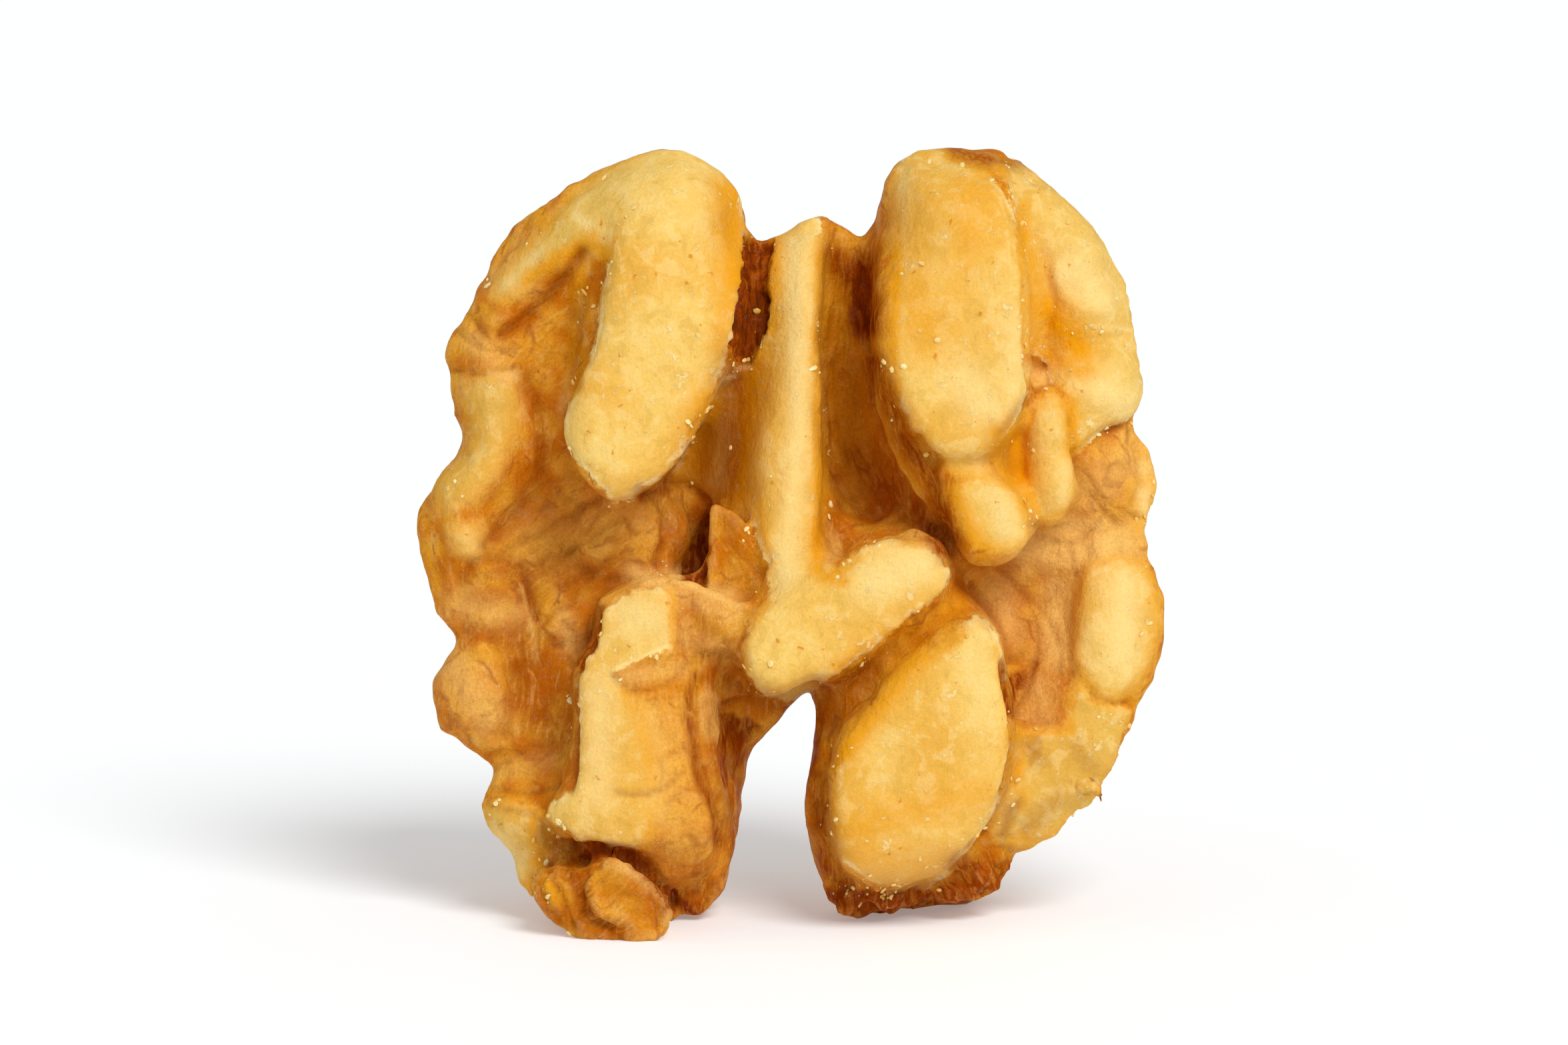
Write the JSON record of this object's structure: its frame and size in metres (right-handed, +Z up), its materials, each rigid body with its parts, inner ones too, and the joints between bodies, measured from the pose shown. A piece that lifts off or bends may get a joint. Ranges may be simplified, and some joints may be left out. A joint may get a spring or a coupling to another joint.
{
  "type": "shelled walnut kernel half",
  "caption": "Shelled walnut kernel half standing on its lower lobes, pale broken inner face to the front, folded skin-covered dome behind.",
  "frame": {"origin": "centre of the kernel's box at the floor that it stands on", "axes": "+X across the kernel to its right as the broken inner face is seen, +Y from the inner face to the domed back, +Z up"},
  "size_m": [0.0282, 0.014, 0.029],
  "materials": {
    "kernel": "satin nut skin, torn open over pale yellow flesh"
  },
  "bodies": {
    "root": {"walnut_kernel": "kernel"}
  },
  "joints": []
}
